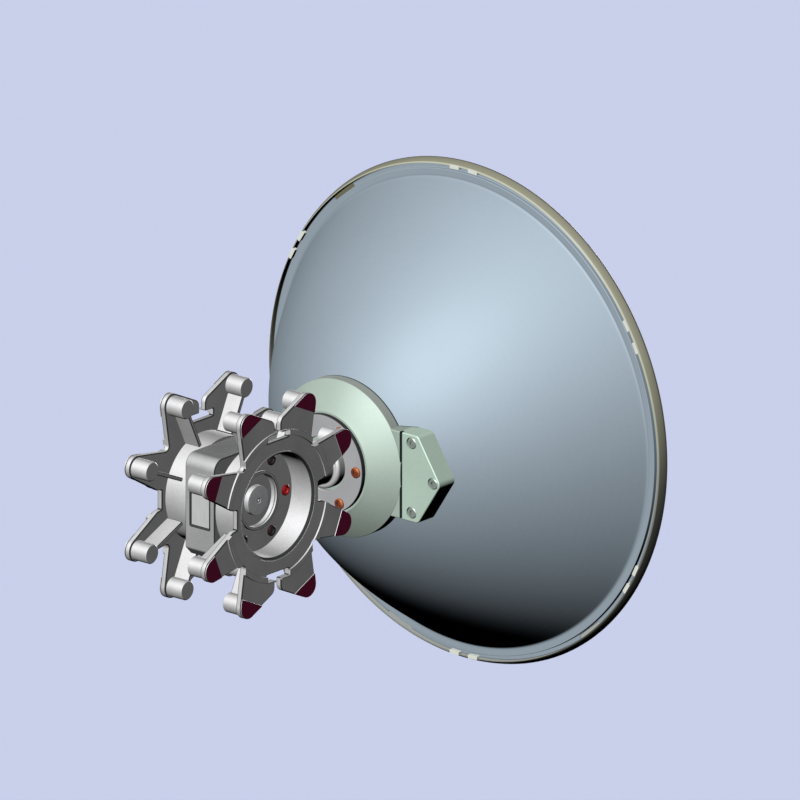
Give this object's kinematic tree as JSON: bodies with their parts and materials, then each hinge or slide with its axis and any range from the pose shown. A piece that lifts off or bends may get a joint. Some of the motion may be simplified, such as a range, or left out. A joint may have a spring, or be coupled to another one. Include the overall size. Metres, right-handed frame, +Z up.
{
  "type": "microwave dish antenna with two-port coupler",
  "caption": "Deep parabolic microwave dish with covered front, rear hub with side mounting lug, and a coupler carrying star-shaped radio flanges on both sides.",
  "frame": {"origin": "on the back face of the mounting lug, level with the dish axis and 130 mm to its right", "axes": "+Y the way the dish looks, +X to the right seen from behind, +Z up; the lug's face looks along -Y"},
  "size_m": [0.65, 0.6084, 0.65],
  "materials": {
    "reflector_paint": "satin blue-grey paint",
    "radome_plastic": "moulded ivory plastic",
    "hub_enamel": "satin pale green enamel",
    "lug_bolt_steel": "zinc-plated socket screws",
    "feed_flange_metal": "machined, faintly pinkish grey",
    "orange_bolt": "orange-brown plated socket screws",
    "coupler_casting": "light grey casting",
    "coupler_cover_sheet": "smooth grey sheet",
    "port_screw_steel": "dark red socket screws"
  },
  "bodies": {
    "root": {"reflector_shell": "reflector_paint", "radome": "radome_plastic", "hub_casting": "hub_enamel", "mounting_lug": "hub_enamel", "lug_bolt_1": "lug_bolt_steel", "lug_bolt_2": "lug_bolt_steel", "lug_bolt_3": "lug_bolt_steel", "feed_flange": "feed_flange_metal", "feed_flange_bolt_1": "orange_bolt", "feed_flange_bolt_2": "orange_bolt", "feed_flange_bolt_3": "orange_bolt", "feed_flange_bolt_4": "orange_bolt", "feed_flange_bolt_5": "orange_bolt", "feed_flange_bolt_6": "orange_bolt", "waveguide_neck": "coupler_casting", "coupler_body": "coupler_casting", "coupler_cover": "coupler_cover_sheet", "right_port_housing": "coupler_casting", "right_star_flange": "coupler_casting", "right_port_ring": "coupler_casting", "right_port_disc": "coupler_casting", "right_port_screw_1": "port_screw_steel", "right_port_screw_2": "port_screw_steel", "right_port_screw_3": "port_screw_steel", "right_port_screw_4": "port_screw_steel", "right_port_screw_5": "port_screw_steel", "right_port_screw_6": "port_screw_steel", "left_port_housing": "coupler_casting", "left_star_flange": "coupler_casting", "left_port_ring": "coupler_casting", "left_port_disc": "coupler_casting", "left_port_screw_1": "port_screw_steel", "left_port_screw_2": "port_screw_steel", "left_port_screw_3": "port_screw_steel", "left_port_screw_4": "port_screw_steel", "left_port_screw_5": "port_screw_steel", "left_port_screw_6": "port_screw_steel"}
  },
  "joints": []
}
